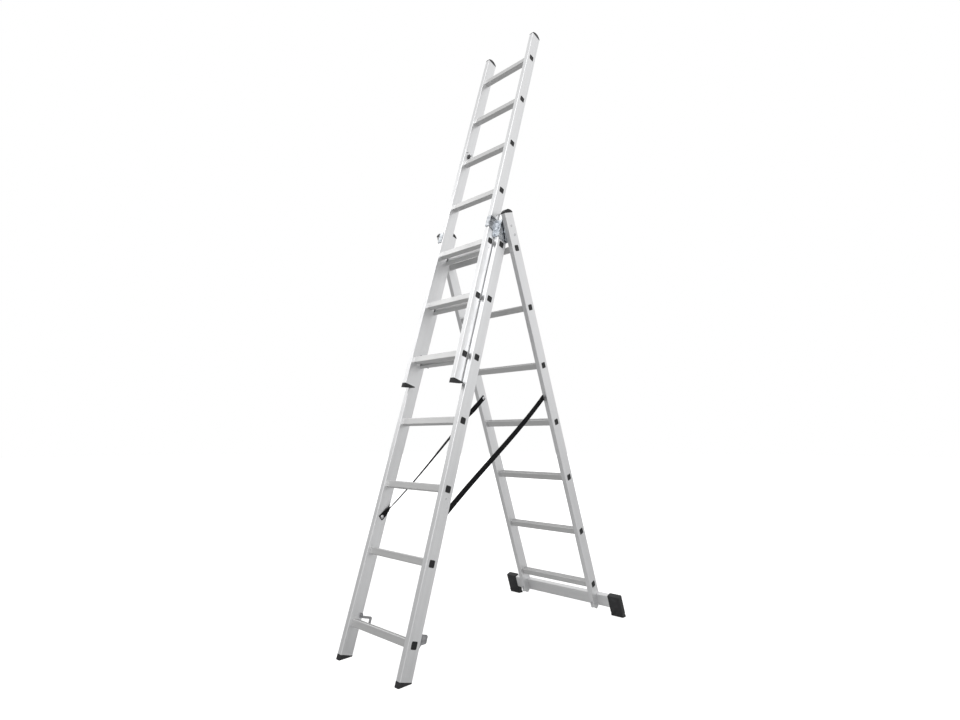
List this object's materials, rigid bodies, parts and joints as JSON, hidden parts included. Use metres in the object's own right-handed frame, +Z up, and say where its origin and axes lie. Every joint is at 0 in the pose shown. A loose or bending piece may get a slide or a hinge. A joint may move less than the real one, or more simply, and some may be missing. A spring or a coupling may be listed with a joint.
{
  "type": "combination ladder",
  "caption": "Free-standing aluminium combination ladder: hinged step-ladder base, sliding top section, stabiliser bar, rung hooks and spreader straps.",
  "frame": {"origin": "on the floor, under the middle of the footprint of the ladder as it stands", "axes": "+X to the right of a person about to climb, -Y the climbing side, +Z up"},
  "size_m": [0.714, 1.2724, 2.986],
  "materials": {
    "stile_aluminium": "satin extruded aluminium",
    "rung_aluminium": "satin extruded aluminium with a ribbed tread",
    "bar_aluminium": "satin extruded aluminium",
    "plug_plastic": "matt moulded plastic",
    "cap_plastic": "matt moulded plastic",
    "foot_rubber": "moulded rubber",
    "buffer_rubber": "moulded rubber",
    "zinc_steel": "zinc-plated pressed steel",
    "hook_steel": "dull zinc-plated steel",
    "fastener_steel": "zinc-plated steel",
    "strap_webbing": "woven nylon webbing"
  },
  "bodies": {
    "front_section": {"bracket_bolts": "fastener_steel", "front_end_caps": "cap_plastic", "front_foot_left": "foot_rubber", "front_foot_right": "foot_rubber", "front_hook_left": "hook_steel", "front_hook_right": "hook_steel", "front_rung_1": "rung_aluminium", "front_rung_2": "rung_aluminium", "front_rung_3": "rung_aluminium", "front_rung_4": "rung_aluminium", "front_rung_5": "rung_aluminium", "front_rung_6": "rung_aluminium", "front_rung_7": "rung_aluminium", "front_rung_plugs": "plug_plastic", "front_stile_left": "stile_aluminium", "front_stile_right": "stile_aluminium", "guide_bracket_left": "zinc_steel", "guide_bracket_right": "zinc_steel", "strap_bolts_front": "fastener_steel", "strap_left": "strap_webbing", "strap_right": "strap_webbing"},
    "top_section": {"stop_buffer": "buffer_rubber", "top_end_caps": "cap_plastic", "top_foot_left": "foot_rubber", "top_foot_right": "foot_rubber", "top_hook_left": "hook_steel", "top_hook_right": "hook_steel", "top_rivets": "fastener_steel", "top_rung_1": "rung_aluminium", "top_rung_2": "rung_aluminium", "top_rung_3": "rung_aluminium", "top_rung_4": "rung_aluminium", "top_rung_5": "rung_aluminium", "top_rung_6": "rung_aluminium", "top_rung_7": "rung_aluminium", "top_rung_plugs": "plug_plastic", "top_stile_left": "stile_aluminium", "top_stile_right": "stile_aluminium"},
    "rear_section": {"hinge_pins": "fastener_steel", "hinge_plate_left": "zinc_steel", "hinge_plate_right": "zinc_steel", "plate_rivets": "fastener_steel", "rear_end_cap_left": "cap_plastic", "rear_end_cap_right": "cap_plastic", "rear_rung_1": "rung_aluminium", "rear_rung_2": "rung_aluminium", "rear_rung_3": "rung_aluminium", "rear_rung_4": "rung_aluminium", "rear_rung_5": "rung_aluminium", "rear_rung_6": "rung_aluminium", "rear_rung_7": "rung_aluminium", "rear_rung_plugs": "plug_plastic", "rear_stile_left": "stile_aluminium", "rear_stile_right": "stile_aluminium", "stabiliser_bar": "bar_aluminium", "stabiliser_bolts": "fastener_steel", "stabiliser_foot_left": "foot_rubber", "stabiliser_foot_right": "foot_rubber", "strap_bolts_rear": "fastener_steel"},
    "latch": {"hook_latch": "hook_steel"}
  },
  "joints": [
    {"name": "rear_fold", "type": "hinge", "parent": "front_section", "child": "rear_section", "pos_m": [0, -0.05397, 1.76187], "axis": [1, 0, 0], "range_deg": [-34.4, 0], "deforming": ["strap_left", "strap_right"]},
    {"name": "top_slide", "type": "slide", "parent": "front_section", "child": "top_section", "axis": [0, 0.2865, 0.9581], "range_m": [-1.12, 0.28]},
    {"name": "latch_swing", "type": "hinge", "parent": "front_section", "child": "latch", "pos_m": [0.1742, -0.5215, 0.13747], "axis": [1, 0, 0], "range_deg": [0, 75]}
  ]
}
